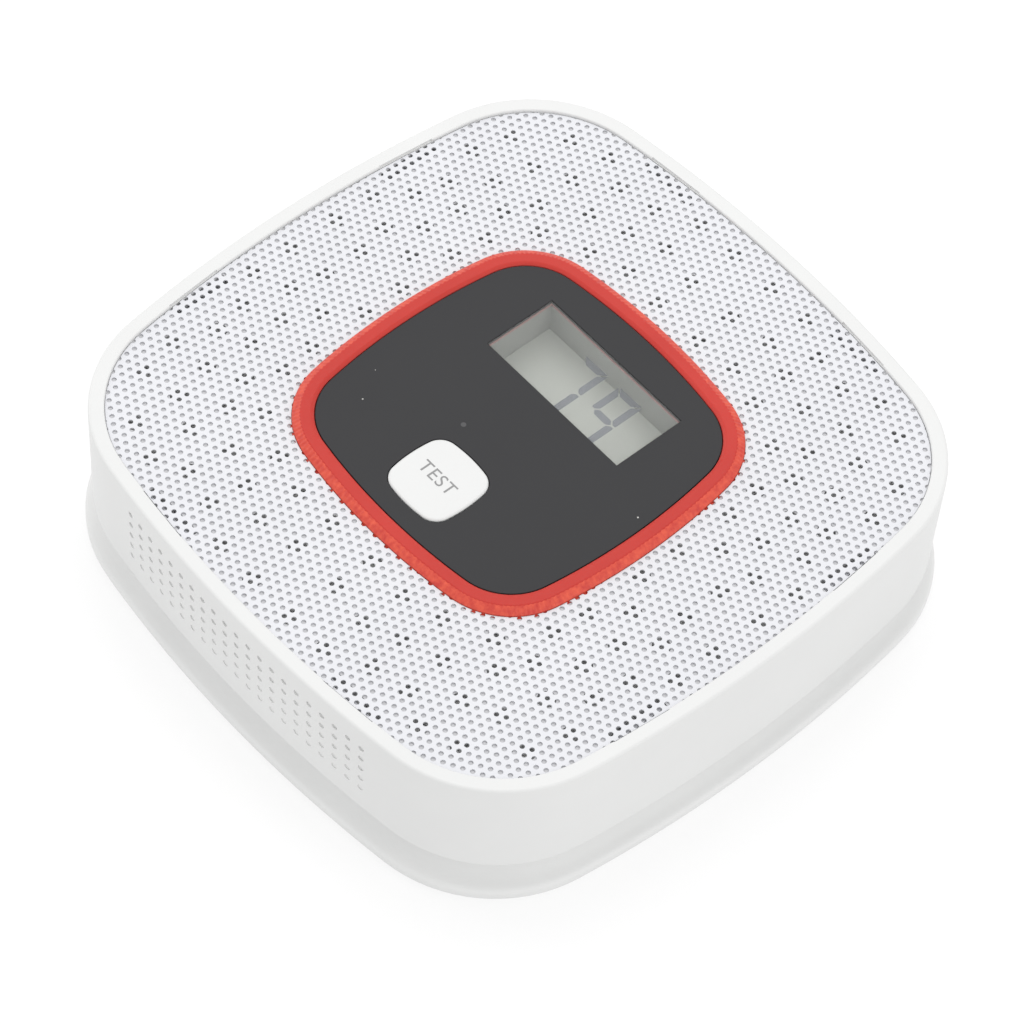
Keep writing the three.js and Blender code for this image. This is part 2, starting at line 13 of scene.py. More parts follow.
import bmesh
import bpy
from mathutils import Matrix, Vector
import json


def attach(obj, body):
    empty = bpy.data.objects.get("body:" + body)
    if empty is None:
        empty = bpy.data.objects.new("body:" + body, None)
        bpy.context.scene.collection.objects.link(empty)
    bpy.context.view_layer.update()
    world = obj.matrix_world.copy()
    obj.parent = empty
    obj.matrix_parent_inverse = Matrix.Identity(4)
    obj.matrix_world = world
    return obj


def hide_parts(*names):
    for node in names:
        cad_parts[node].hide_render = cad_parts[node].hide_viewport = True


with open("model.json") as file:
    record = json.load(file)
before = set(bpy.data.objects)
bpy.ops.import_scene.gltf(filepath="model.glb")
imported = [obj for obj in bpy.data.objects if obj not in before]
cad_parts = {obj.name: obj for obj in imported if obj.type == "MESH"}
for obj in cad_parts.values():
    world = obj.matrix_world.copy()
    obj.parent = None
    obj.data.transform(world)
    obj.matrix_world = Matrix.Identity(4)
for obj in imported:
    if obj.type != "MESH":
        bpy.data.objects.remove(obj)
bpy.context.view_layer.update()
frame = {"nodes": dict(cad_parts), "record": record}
MM = 0.001

# %% [markdown]
# ## The outline
#
# Every outline on this product is the same figure at a different size: a square whose sides are shallow arcs
# and whose corners are tighter arcs that meet them smoothly. Three numbers describe it: half the width at
# mid-side, the radius of the sides and the radius of the corners, in millimetres. So a function draws it at
# any inset. All the levels of a moulding have the same number of points, so they can be joined into walls.

# %%
BODY = (54.7, 235.0, 23.4)
RING = (29.2, 108.0, 13.4)
BUTTON = (6.45, 24.0, 3.1)
BRACKET_HOLE = (37.0, 180.0, 12.0)


def arcs(shape, inset=0.0):
    """Side radius, corner radius, side centre, corner centre and the angle where the arcs meet."""
    half, side, corner = (value - inset for value in shape)
    middle = half - side
    q = (middle + math.sqrt(2 * (side - corner) ** 2 - middle**2)) / 2
    return side, corner, middle, q, math.atan2(q, q - middle)


def outline(shape, inset=0.0, side_steps=24, corner_steps=16):
    """Points round the figure, anticlockwise, in millimetres."""
    side, corner, middle, q, meet = arcs(shape, inset)
    quarter = []
    for i in range(side_steps):
        a = -meet + 2 * meet * i / side_steps
        quarter.append((middle + side * math.cos(a), side * math.sin(a)))
    for i in range(corner_steps):
        a = meet + (math.pi / 2 - 2 * meet) * i / corner_steps
        quarter.append((q + corner * math.cos(a), q + corner * math.sin(a)))
    points = []
    for _ in range(4):
        points += quarter
        quarter = [(-y, x) for x, y in quarter]
    return points


def outside_by(shape, x, y, inset=0.0):
    """How far (x, y) lies outside the figure, in millimetres: negative inside it."""
    side, corner, middle, q, _ = arcs(shape, inset)
    x, y = max(abs(x), abs(y)), min(abs(x), abs(y))
    if x - q > 0 and y * (q - middle) > q * (x - middle):
        return math.hypot(x - q, y - q) - corner
    return math.hypot(x - middle, y) - side


print("points in one outline:", len(outline(BODY)))

# %% [markdown]
# ## Ways of making a piece
#
# An injection moulding is mostly walls of even thickness that follow an outline, with small radii where the
# steel was cut. So most pieces are either a *sweep*, a cross-section carried round the outline, or a *plate*,
# a flat sheet with holes. Both come out as plain meshes. Level faces are left flat, and the rest is smooth
# except at sharp edges.

# %%
CORNERS = [(1, 1), (-1, 1), (-1, -1), (1, -1)]
QUARTER_TURNS = (0, 90, 180, 270)


def finished(name, bm, body, *nodes, angle=35):
    """Makes an object of a mesh in millimetres. It rides on a body and stands for the CAD nodes named."""
    bmesh.ops.recalc_face_normals(bm, faces=bm.faces)
    bmesh.ops.scale(bm, vec=(MM, MM, MM), verts=bm.verts)
    mesh = bpy.data.meshes.new(name)
    bm.to_mesh(mesh)
    bm.free()
    mesh.shade_smooth()
    mesh.set_sharp_from_angle(angle=math.radians(angle))
    for face in mesh.polygons:
        face.use_smooth = abs(face.normal.z) < 0.9999
    piece = bpy.data.objects.new(name, mesh)
    bpy.context.scene.collection.objects.link(piece)
    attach(piece, body)
    if nodes:
        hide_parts(*nodes)
    return piece


def rounded(corners, steps=5):
    """A closed cross-section with its corners rounded off: each corner is (z, inset, radius)."""
    section = []
    for i, (z, inset, radius) in enumerate(corners):
        here = Vector((z, inset))
        before = (Vector(corners[i - 1][:2]) - here).normalized()
        after = (Vector(corners[(i + 1) % len(corners)][:2]) - here).normalized()
        half = before.angle(after) / 2
        if radius == 0 or half > math.radians(88):
            section.append((z, inset))
            continue
        start = here + before * radius / math.tan(half)
        end = here + after * radius / math.tan(half)
        centre = here + (before + after).normalized() * radius / math.sin(half)
        for k in range(steps + 1):
            spoke = (start - centre).slerp(end - centre, k / steps).normalized()
            section.append(tuple(centre + spoke * radius))
    return section


def add_walls(bm, rings, closed):
    """Joins rings of points into walls, and joins the last ring to the first if closed."""
    rows = [[bm.verts.new(point) for point in ring] for ring in rings]
    pairs = list(zip(rows, rows[1:] + rows[:1])) if closed else list(zip(rows, rows[1:]))
    for low, high in pairs:
        for i in range(len(low)):
            j = (i + 1) % len(low)
            bm.faces.new((low[i], low[j], high[j], high[i]))
    if not closed:
        bm.faces.new(rows[0])
        bm.faces.new(rows[-1])


def add_sweep(bm, shape, section, closed=True, at=(0, 0), **steps):
    """Carries a cross-section of (z, inset) points round an outline."""
    rings = []
    for z, inset in section:
        rings.append([(x + at[0], y + at[1], z) for x, y in outline(shape, inset, **steps)])
    add_walls(bm, rings, closed)


def circle(radius, x=0.0, y=0.0, steps=20):
    angles = [2 * math.pi * i / steps for i in range(steps)]
    return [(x + radius * math.cos(a), y + radius * math.sin(a)) for a in angles]


def rectangle(half_x, half_y, x=0.0, y=0.0):
    return [(x + i * half_x, y + j * half_y) for i, j in [(-1, -1), (1, -1), (1, 1), (-1, 1)]]


def evaluated_mesh(maker):
    """The mesh that a curve or text object makes."""
    depsgraph = bpy.context.evaluated_depsgraph_get()
    mesh = bpy.data.meshes.new_from_object(maker.evaluated_get(depsgraph))
    bpy.data.objects.remove(maker)
    return mesh


def add_plate(bm, loops, z0, z1, edge=0.0):
    """Adds a flat sheet between two heights: the first loop is its outline and the others are holes."""
    curve = bpy.data.curves.new("plate", "CURVE")
    curve.dimensions = "2D"
    curve.fill_mode = "BOTH"
    curve.extrude = (z1 - z0) / 2 - edge
    curve.bevel_depth = edge
    curve.bevel_resolution = 1
    curve.offset = -edge
    for loop in loops:
        spline = curve.splines.new("POLY")
        spline.points.add(len(loop) - 1)
        for point, (x, y) in zip(spline.points, loop):
            point.co = (x, y, 0, 1)
        spline.use_cyclic_u = True
    maker = bpy.data.objects.new("plate", curve)
    bpy.context.scene.collection.objects.link(maker)
    mesh = evaluated_mesh(maker)
    mesh.transform(Matrix.Translation((0, 0, (z0 + z1) / 2)))
    bm.from_mesh(mesh)
    bmesh.ops.remove_doubles(bm, verts=bm.verts, dist=1e-4)


def add_turned(bm, profile, x=0.0, y=0.0, steps=32):
    """Adds a solid of revolution about a vertical line, from a profile of (radius, z) points."""
    rings = [[(px, py, z) for px, py in circle(max(radius, 0.001), x, y, steps)] for radius, z in profile]
    add_walls(bm, rings, False)


def add_prism(bm, loop, z0, z1):
    add_walls(bm, [[(x, y, z) for x, y in loop] for z in (z0, z1)], False)


def add_box(bm, x0, x1, y0, y1, z0, z1):
    bounds = Matrix.Translation(((x0 + x1) / 2, (y0 + y1) / 2, (z0 + z1) / 2))
    bmesh.ops.create_cube(bm, size=1, matrix=bounds @ Matrix.Diagonal((x1 - x0, y1 - y0, z1 - z0, 1)))


def move_into(bm, source):
    """Moves everything in one mesh into another."""
    holder = bpy.data.meshes.new("moved")
    source.to_mesh(holder)
    source.free()
    bm.from_mesh(holder)
    bpy.data.meshes.remove(holder)


def cut_away(bm, tools):
    """Cuts one mesh, in millimetres, out of another."""
    holders = []
    for source in (bm, tools):
        bmesh.ops.recalc_face_normals(source, faces=source.faces)
        mesh = bpy.data.meshes.new("cutting")
        source.to_mesh(mesh)
        source.free()
        holder = bpy.data.objects.new("cutting", mesh)
        bpy.context.scene.collection.objects.link(holder)
        holders.append(holder)
    cut = holders[0].modifiers.new("cut", "BOOLEAN")
    cut.object = holders[1]
    cut.solver = "EXACT"
    cut.use_self = True
    result = bmesh.new()
    depsgraph = bpy.context.evaluated_depsgraph_get()
    result.from_mesh(holders[0].evaluated_get(depsgraph).to_mesh())
    for holder in holders:
        bpy.data.objects.remove(holder)
    return result


print("ways of making a piece: sweep, plate, turned, box, cut")

# %% [markdown]
# ## Front cover
#
# One white moulding: side walls that lean in a little towards the bottom, a rim 2.5 mm wide with a soft
# outer edge, and a sunken face that carries the grille. The face isn't seen directly, but its openings show
# through the grille as soft dark spots, so they are really there, with a thin white dust screen inside them.
# A grid of small round vents goes through one side wall, with a white baffle just behind it, so the vents
# look pale grey and not black. Eight shallow notches in the rim mark the places of the grille's tabs.

# %%
COVER_BOTTOM, FACE_Z, FACE_TOP, RIM_TOP = 8.7, 26.0, 28.42, 29.2
DRAFT, RIM_WIDTH, WALL = 0.25, 2.5, 2.0
VENT_PITCH, VENT_RADIUS, VENT_Z = 2.66, 0.55, 19.3
OPENING_RADIUS = 1.45
TAB_AT, TAB_SLOT_AT = 21, 49.9
HOUSING_SCREW, BOARD_SCREW = (40.5, 40.5), (34.5, 18)
OPENING_ROWS = [
    [(31.5, 3.5), (31.5, 14), (30.8, 20.2), (26.3, 27.4), (18.8, 31), (12, 33), (4.5, 32.5)],
    [(35.5, 8.8), (38.3, 14.3), (37.8, 20.5), (33.2, 25.8), (30.7, 31), (24.4, 35.8), (17.9, 38)],
    [(4.5, 39.3)],
    [(41, 3.6), (42.6, 9.5), (44.4, 17.2), (43, 23.2), (38.9, 28.6), (37.1, 35.4), (31.2, 38.2), (25.1, 43)],
    [(18.6, 44.5), (11.8, 40.8), (48.3, 4.5), (48.3, 11.8), (45.6, 30.1), (43.9, 36.7), (37.1, 43.6)],
    [(30.8, 45.9), (11.9, 47.8), (4.2, 48.2)],
]

walls = bmesh.new()
add_sweep(
    walls,
    BODY,
    rounded(
        [
            (COVER_BOTTOM, DRAFT, 0.3),
            (RIM_TOP, 0.0, 0.5),
            (RIM_TOP, RIM_WIDTH, 0.25),
            (FACE_TOP - 0.6, RIM_WIDTH, 0),
            (FACE_TOP - 0.6, WALL, 0),
            (COVER_BOTTOM, WALL, 0.3),
        ]
    ),
)
drills = bmesh.new()
vent = circle(VENT_RADIUS, steps=16)
for column in range(-10, 11):
    for row in range(-2, 3):
        x, z = column * VENT_PITCH, VENT_Z + row * VENT_PITCH
        add_walls(drills, [[(x + u, y, z + v) for u, v in vent] for y in (-56, -45)], False)
side, _, middle, _, _ = arcs(BODY, RIM_WIDTH)
lean = math.asin(21.3 / side)
for turn in range(4):
    for way in (-1, 1):
        notch = bmesh.new()
        add_box(notch, side - 1, side + 0.16, -5, 5, 28.72, 29.6)
        bmesh.ops.rotate(notch, verts=notch.verts, matrix=Matrix.Rotation(way * lean, 3, "Z"))
        bmesh.ops.translate(notch, verts=notch.verts, vec=(middle, 0, 0))
        bmesh.ops.rotate(notch, verts=notch.verts, matrix=Matrix.Rotation(turn * math.pi / 2, 3, "Z"))
        move_into(drills, notch)
cover = cut_away(walls, drills)

face_edges = [outline(BODY, 1.5), outline(RING, -0.3)]
holes = [circle(OPENING_RADIUS, i * x, j * y) for row in OPENING_ROWS for x, y in row for i, j in CORNERS]
slots = [rectangle(1.0, 5.2, i * TAB_SLOT_AT, j * TAB_AT) for i, j in CORNERS]
slots += [rectangle(5.2, 1.0, i * TAB_AT, j * TAB_SLOT_AT) for i, j in CORNERS]
add_plate(cover, face_edges + holes + slots, FACE_Z, FACE_TOP)
SCREEN_Z, SCREEN_TOP = 26.9, 27.0
add_plate(cover, face_edges, SCREEN_Z, SCREEN_TOP)

BAFFLE_INSET, BAFFLE_THICK = 0.32, 0.8
side, _, middle, _, _ = arcs(BODY, BAFFLE_INSET)
baffle = [(x, -middle - math.sqrt(side**2 - x**2)) for x in range(-30, 31, 5)]
add_prism(cover, baffle + [(x, y + BAFFLE_THICK) for x, y in reversed(baffle)], 12.5, 26.2)
for i, j in CORNERS:
    x, y = HOUSING_SCREW
    add_turned(cover, [(0, 10), (3, 10), (3, 26.2), (0, 26.2)], i * x, j * y)
    x, y = BOARD_SCREW
    add_turned(cover, [(0, 20.9), (2.2, 20.9), (2.2, 26.2), (0, 26.2)], i * x, j * y)
front_cover = finished("front_cover_fine", cover, "detector", "front_cover")
print("front cover faces:", len(front_cover.data.polygons))

# %% [markdown]
# ## Perforated grille
#
# Sheet metal is punched all over before it is cut to shape, so the holes run to the very edge and some are
# cut through. They lie on a triangular lattice, 1.5 mm apart in columns 1.3 mm apart. Each hole is made with
# its own hexagon of metal round it. The hexagons meet edge to edge, and those that an edge crosses are
# trimmed there.

# %%
GRILLE_Z, GRILLE_TOP = 28.47, 28.7
PITCH, HOLE_RADIUS = 1.5, 0.41
SHEET_INSET, SHEET_RING_GAP = 2.62, 0.08


def trimmed(polygon):
    """The part of a small polygon that lies inside the sheet's outline and outside the light ring."""
    for sign, shape, inset in [(1, BODY, SHEET_INSET), (-1, RING, -SHEET_RING_GAP)]:
        depths = [sign * outside_by(shape, x, y, inset) for x, y in polygon]
        kept = []
        for i, (point, depth) in enumerate(zip(polygon, depths)):
            other, other_depth = polygon[i - 1], depths[i - 1]
            if (depth < 0) != (other_depth < 0):
                t = other_depth / (other_depth - depth)
                kept.append(tuple(a + (b - a) * t for a, b in zip(other, point)))
            if depth < 0:
                kept.append(point)
        polygon = kept
        if len(polygon) < 3:
            return []
    return polygon


def hole_cell(x, y):
    """The quads of metal between one hole and its hexagon."""
    rim, border = [], []
    for i in range(12):
        a = math.radians(30 * i)
        reach = PITCH / 2 / (1 if i % 2 else math.cos(math.radians(30)))
        rim.append((x + HOLE_RADIUS * math.cos(a), y + HOLE_RADIUS * math.sin(a)))
        border.append((x + reach * math.cos(a), y + reach * math.sin(a)))
    return [[border[i], border[(i + 1) % 12], rim[(i + 1) % 12], rim[i]] for i in range(12)]


sheet = bmesh.new()
column_pitch = PITCH * math.cos(math.radians(30))
for column in range(-40, 41):
    for row in range(-36, 37):
        x = column * column_pitch
        y = (row + 0.5 * (column % 2)) * PITCH
        if outside_by(BODY, x, y, SHEET_INSET) > 1 or outside_by(RING, x, y) < -1:
            continue
        for quad in hole_cell(x, y):
            polygon = trimmed(quad)
            if polygon:
                sheet.faces.new([sheet.verts.new((px, py, GRILLE_TOP)) for px, py in polygon])
bmesh.ops.remove_doubles(sheet, verts=sheet.verts, dist=0.002)
bmesh.ops.recalc_face_normals(sheet, faces=sheet.faces)
grown = bmesh.ops.extrude_face_region(sheet, geom=sheet.faces[:])
lower = [item for item in grown["geom"] if isinstance(item, bmesh.types.BMVert)]
bmesh.ops.translate(sheet, verts=lower, vec=(0, 0, GRILLE_Z - GRILLE_TOP))
TAB_DROP, TAB_LIP = (50.1, 50.7, 25.1, 28.2), (46.6, 50.7, 25.1, 25.7)
for i, j in CORNERS:
    for x0, x1, z0, z1 in (TAB_DROP, TAB_LIP):
        low, high = sorted((i * x0, i * x1))
        add_box(sheet, low, high, j * TAB_AT - 5, j * TAB_AT + 5, z0, z1)
        low, high = sorted((j * x0, j * x1))
        add_box(sheet, i * TAB_AT - 5, i * TAB_AT + 5, low, high, z0, z1)
grille = finished("grille_perforated", sheet, "detector", "grille", angle=30)
print("grille faces:", len(grille.data.polygons))

# %% [markdown]
# ## Red light ring
#
# The ring is the rim of a single red lens that also runs under the dark panel. Its outer side is fluted,
# which spreads the light of the alarm lamps below. The flutes are moulded, so they are real: a ripple on the
# outline, one wave every 0.8 mm. A wave takes seven points.

# %%
RING_TOP, PANEL_Z, PANEL_TOP = 29.8, 28.7, 29.5
WINDOW = (0.0, 13.1, 14.75, 6.55)
STATUS = (-5.4, -6.3)
BUTTON_Y = -15.9
RING_WIDTH, FLUTE_DEPTH, FLUTE_POINTS = 3.45, 0.14, 7

lens = bmesh.new()
flutes = {"side_steps": FLUTE_POINTS * 40, "corner_steps": FLUTE_POINTS * 23}
smooth = outline(RING, 0.0, **flutes)
inner = outline(RING, RING_WIDTH, **flutes)


def lens_ring(inset, z, ripple=0.0):
    """One level of the ring: a blend of its outer and inner outlines, with a ripple for the flutes."""
    points = []
    for i, (a, b) in enumerate(zip(smooth, inner)):
        wave = ripple * (0.5 - 0.5 * math.cos(2 * math.pi * i / FLUTE_POINTS))
        t = (inset + wave) / RING_WIDTH
        points.append((a[0] + (b[0] - a[0]) * t, a[1] + (b[1] - a[1]) * t, z))
    return points


levels = [(-0.25, 24.2, 0.0), (-0.25, GRILLE_Z - 0.07, 0.0), (0.0, GRILLE_Z - 0.07, 0.0)]
levels += [(0.0, GRILLE_TOP + 0.25, 0.0), (0.12, GRILLE_TOP + 0.4, FLUTE_DEPTH)]
levels += [(0.5, RING_TOP - 0.4, FLUTE_DEPTH), (1.1, RING_TOP - 0.08, FLUTE_DEPTH)]
levels += [(1.35, RING_TOP, 0.0), (2.75, RING_TOP, 0.0)]
levels += [(3.1, RING_TOP - 0.1, 0.0), (3.35, RING_TOP - 0.35, 0.0)]
levels += [(RING_WIDTH, PANEL_Z - 0.4, 0.0), (2.4, PANEL_Z - 0.9, 0.0), (2.4, 24.2, 0.0)]
add_walls(lens, [lens_ring(*level) for level in levels], True)


def button_hole(gap):
    return [(x, y + BUTTON_Y) for x, y in outline(BUTTON, -gap, side_steps=8, corner_steps=10)]


def window_hole(grow):
    x, y, half_x, half_y = WINDOW
    return rectangle(half_x + grow, half_y + grow, x, y)


web = [outline(RING, 3.0), window_hole(0.2), button_hole(0.4), circle(1.05, *STATUS)]
add_plate(lens, web, 27.0, PANEL_Z - 0.1)
add_plate(lens, [outline(RING, -1.5), outline(RING, 1.0)], 24.2, 25.7)
light_guide = finished("light_guide_fluted", lens, "detector", "light_guide")
print("light ring faces:", len(light_guide.data.polygons))

# %% [markdown]
# ## Display panel, window and test button
#
# The dark panel is a flat moulding that drops into the red lens, with holes for the window and the button.
# The status light is a faint dot, a hair above the panel. The button is a white cap with a soft edge and a
# barely domed top, with its one word printed on it.

# %%
panel = bmesh.new()
panel_loops = [outline(RING, 3.5), window_hole(0), button_hole(0.12)]
add_plate(panel, panel_loops, PANEL_Z, PANEL_TOP, edge=0.08)
display_panel = finished("display_panel_fine", panel, "detector", "display_panel")

spot = bmesh.new()
SPOT_TOP = PANEL_TOP + 0.004
add_turned(spot, [(0, 29.2), (0.42, 29.2), (0.42, SPOT_TOP), (0, SPOT_TOP)], *STATUS)
status_spot = finished("status_light_pipe_fine", spot, "detector", "status_light_pipe")

window = bmesh.new()
add_plate(window, [window_hole(-0.1)], PANEL_Z, PANEL_TOP - 0.02, edge=0.04)
display_window = finished("display_window_fine", window, "detector", "display_window")

BUTTON_TOP = 29.75
cap = bmesh.new()
crown = [(26.0, 0.0), (BUTTON_TOP - 0.45, 0.0)]
for k in range(1, 7):
    a = math.radians(15 * k)
    crown.append((BUTTON_TOP - 0.47 + 0.4 * math.sin(a), 0.45 * (1 - math.cos(a))))
crown += [(BUTTON_TOP - 0.04, 1.4), (BUTTON_TOP - 0.02, 2.4)]
add_sweep(cap, BUTTON, crown, closed=False, at=(0, BUTTON_Y), side_steps=12, corner_steps=12)
add_sweep(cap, BUTTON, [(25.2, -1.7), (26.3, -1.7)], closed=False, at=(0, BUTTON_Y))
add_turned(cap, [(0, 25.05), (2.2, 25.05), (2.2, 26), (0, 26)], 0, BUTTON_Y)
button_cap = finished("button_cap_fine", cap, "button", "button_cap")


def lettering(name, words, height, x, y, z, body):
    """Flat printed letters, centred on a point, in millimetres."""
    text = bpy.data.curves.new(name, "FONT")
    text.body = words
    text.align_x = "CENTER"
    text.align_y = "CENTER"
    text.size = height / 0.7
    text.space_character = 1.08
    maker = bpy.data.objects.new(name, text)
    bpy.context.scene.collection.objects.link(maker)
    mesh = evaluated_mesh(maker)
    mesh.transform(Matrix.Translation((x * MM, y * MM, z * MM)) @ Matrix.Scale(MM, 4))
    piece = bpy.data.objects.new(name, mesh)
    bpy.context.scene.collection.objects.link(piece)
    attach(piece, body)
    return piece


WORD_Z = BUTTON_TOP - 0.005
button_word = lettering("button_lettering", "TEST", 2.2, -0.3, BUTTON_Y, WORD_Z, "button")
print("panel, window and button made")

# %% [markdown]
# ## Liquid-crystal display
#
# The window is the top of a grey-green well, so two of its edges show a shaded wall. The segments lie at the
# height of the glass, 2 mm above the pale backing. A segment is a bar with mitred ends and a hair of glass
# between neighbours. The lit ones are slate grey. They throw no shadow, because the shadow of such a thin
# film is too faint to see. The display has three places: the reading is 79, and its first place is blank.

# %%
BACKING_TOP, SEGMENT_Z = 22.5, 24.45
SEGMENTS = {"7": "abc", "9": "abcdfg"}
DIGIT_WIDTH, DIGIT_HEIGHT, STROKE, GAP = 5.3, 11.7, 1.2, 0.17
DIGIT_Y, READING = 13.55, [("7", -3.6), ("9", 4.2)]


def segment_shapes():
    """The outlines of the seven segments, named by letter, about the digit's centre."""
    w, h, s, g = DIGIT_WIDTH / 2, DIGIT_HEIGHT / 2, STROKE, GAP
    top = [(-w + g, h), (w - g, h), (w - s - g, h - s), (-w + s + g, h - s)]
    side = [(w, h - g), (w, g), (w - s / 2, g), (w - s, s / 2 + g), (w - s, h - s - g)]
    bar = [(-w + s / 2 + g, 0), (-w + s + g, s / 2), (w - s - g, s / 2), (w - s / 2 - g, 0)]
    bar += [(w - s - g, -s / 2), (-w + s + g, -s / 2)]
    mirrored = {"a": (top, 1, 1), "b": (side, 1, 1), "c": (side, 1, -1), "d": (top, 1, -1)}
    mirrored.update({"e": (side, -1, -1), "f": (side, -1, 1), "g": (bar, 1, 1)})
    return {key: [(i * x, j * y) for x, y in loop] for key, (loop, i, j) in mirrored.items()}


def add_digit(bm, value, x, y, z):
    for key, loop in segment_shapes().items():
        if key in SEGMENTS[value]:
            bm.faces.new([bm.verts.new((x + px, y + py, z)) for px, py in loop])


glass = bmesh.new()
add_box(glass, -17.8, 17.8, WINDOW[1] - 9.2, WINDOW[1] + 9.2, 22.2, BACKING_TOP)
display_glass = finished("display_glass_fine", glass, "detector", "display_glass")
reading = bmesh.new()
for value, x in READING:
    add_digit(reading, value, x, DIGIT_Y, SEGMENT_Z)
display_digits = finished("display_digits", reading, "detector")
display_digits.visible_shadow = False
display_digits.visible_diffuse = False
print("segments:", len(display_digits.data.polygons))

liner = bmesh.new()
add_plate(liner, [window_hole(0.15), window_hole(-0.06)], BACKING_TOP + 0.02, 28.3)
add_plate(liner, [window_hole(0.15), window_hole(-0.06)], 28.3, 28.65)
display_liner = finished("display_liner", liner, "detector")

# %% [markdown]
# ## Back cover and wall bracket
#
# The back cover has a flange a little wider than the box and a hollow curve, a cove, that runs in under the
# front cover, so the box seems to float on its base. The thin wall bracket locks behind it with four lugs
# that turn in curved slots. The battery door lies inside the bracket's opening.

# %%
BACK_Z, FLOOR_TOP = 1.9, 3.7


def sector(r0, r1, start, stop, turn, steps=8):
    """A piece of a ring between two radii and two angles in degrees, turned about the origin."""
    angles = [math.radians(turn + start + (stop - start) * i / steps) for i in range(steps + 1)]
    outer = [(r1 * math.cos(a), r1 * math.sin(a)) for a in angles]
    return outer + [(r0 * math.cos(a), r0 * math.sin(a)) for a in reversed(angles)]


PLATE_INSET = 5.5
flange = [(BACK_Z, PLATE_INSET), (BACK_Z, -0.7), (BACK_Z + 0.1, -0.9), (BACK_Z + 0.3, -1.0)]
flange += [(3.0, -1.0), (3.2, -0.94)]
cove = [(3.4, -0.8), (3.6, -0.5), (3.8, 0.0), (4.1, 0.6), (4.6, 1.2), (5.4, 1.8), (6.6, 2.2), (7.4, 2.3)]
inside = [(11.5, 2.3), (11.5, 4.0), (FLOOR_TOP, 4.0), (FLOOR_TOP, PLATE_INSET)]
base = bmesh.new()
add_sweep(base, BODY, flange + cove + inside)

floor_plate = bmesh.new()
add_prism(floor_plate, outline(BODY, PLATE_INSET), BACK_Z, FLOOR_TOP)
ways = bmesh.new()
BELOW, ABOVE = BACK_Z - 1, FLOOR_TOP + 1
add_box(ways, -28.4, 28.4, -2.0, 32.0, BELOW, ABOVE)
add_box(ways, -29.7, 29.7, -2.0, 0.3, BELOW, FLOOR_TOP - 0.1)
add_box(ways, -7, 7, 31.6, 36.6, BELOW, BACK_Z + 0.9)
for turn in QUARTER_TURNS:
    add_prism(ways, sector(43.6, 47.0, -16.8, 4.8, turn), BELOW, ABOVE)
    add_prism(ways, sector(43.6, 49.4, -16.8, -7.2, turn), BELOW, ABOVE)
screw_places = [(i * HOUSING_SCREW[0], j * HOUSING_SCREW[1]) for i, j in CORNERS]
for x, y in screw_places:
    add_prism(ways, circle(3.0, x, y), BELOW, ABOVE)
move_into(base, cut_away(floor_plate, ways))
add_plate(base, [rectangle(29.8, 16.8, 0, 16.6), rectangle(28.6, 15.6, 0, 16.6)], FLOOR_TOP, 15)
for x, y in screw_places:
    add_plate(base, [circle(4.2, x, y), circle(3.0, x, y)], FLOOR_TOP - 0.4, 7.8)
    add_plate(base, [circle(4.2, x, y), circle(1.5, x, y)], 7.7, 9.7)
back_cover = finished("back_cover_fine", base, "detector", "back_cover")

BRACKET_TOP, BRACKET_INSET = 1.6, 4.0
WALL_SCREW = (21, 46.3)
bracket = bmesh.new()
bracket_edge = [(0.0, 0.35), (0.08, 0.0), (0.3, -0.35), (0.55, -0.5), (1.5, -0.5), (BRACKET_TOP, -0.4)]
add_sweep(bracket, BODY, [(0.0, BRACKET_INSET)] + bracket_edge + [(BRACKET_TOP, BRACKET_INSET)])
bracket_loops = [outline(BODY, BRACKET_INSET), outline(BRACKET_HOLE)]
bracket_loops += [circle(2.1, i * WALL_SCREW[0], j * WALL_SCREW[1]) for i, j in CORNERS]
add_plate(bracket, bracket_loops, 0.0, BRACKET_TOP)
for turn in QUARTER_TURNS:
    lug = bmesh.new()
    add_box(lug, 44, 46.6, -3.5, 3.5, 1.1, 5.3)
    add_box(lug, 44, 49, -3.5, 3.5, 4.1, 5.3)
    quarter_turn = Matrix.Rotation(math.radians(turn), 3, "Z")
    bmesh.ops.rotate(lug, verts=lug.verts, cent=(0, 0, 0), matrix=quarter_turn)
    move_into(bracket, lug)
mounting_bracket = finished("mounting_bracket_fine", bracket, "bracket", "mounting_bracket")
print("back cover and bracket made")

# %% [markdown]
# ## Effects shared by the finishes
#
# Three effects are used on more than one material, so each is a node group with named inputs. *Moulded
# Grain* gives the fine texture that a spark-eroded mould leaves. *Dust* scatters small pale specks on faces
# that look up. *Handling and Glints* is a slow blotchy variation, from fingers and age, for roughness and
# tone. Made fine on the red ring's outer slope, the same variation draws orange flecks, which are painted
# glints.

# %%


def new_group(name, inputs, outputs):
    """Makes a node group with float inputs {name: default} and float outputs."""
    group = bpy.data.node_groups.new(name, "ShaderNodeTree")
    for label, default in inputs.items():
        socket = group.interface.new_socket(label, in_out="INPUT", socket_type="NodeSocketFloat")
        socket.default_value = default
    for label in outputs:
        group.interface.new_socket(label, in_out="OUTPUT", socket_type="NodeSocketFloat")
    return group, group.nodes.new("NodeGroupInput"), group.nodes.new("NodeGroupOutput")


def add_node(tree, kind, settings=None, **inputs):
    """Adds a node, and sets or links its inputs: a socket is linked and a plain value is set."""
    node = tree.nodes.new(kind)
    for key, value in (settings or {}).items():
        setattr(node, key, value)
    for key, value in inputs.items():
        key = int(key[1:]) if key[0] == "i" and key[1:].isdigit() else key.replace("_", " ")
        if isinstance(value, bpy.types.NodeSocket):
            tree.links.new(value, node.inputs[key])
        else:
            node.inputs[key].default_value = value
    return node


def maths(tree, operation, a, b=0.0):
    return add_node(tree, "ShaderNodeMath", {"operation": operation}, i0=a, i1=b).outputs[0]


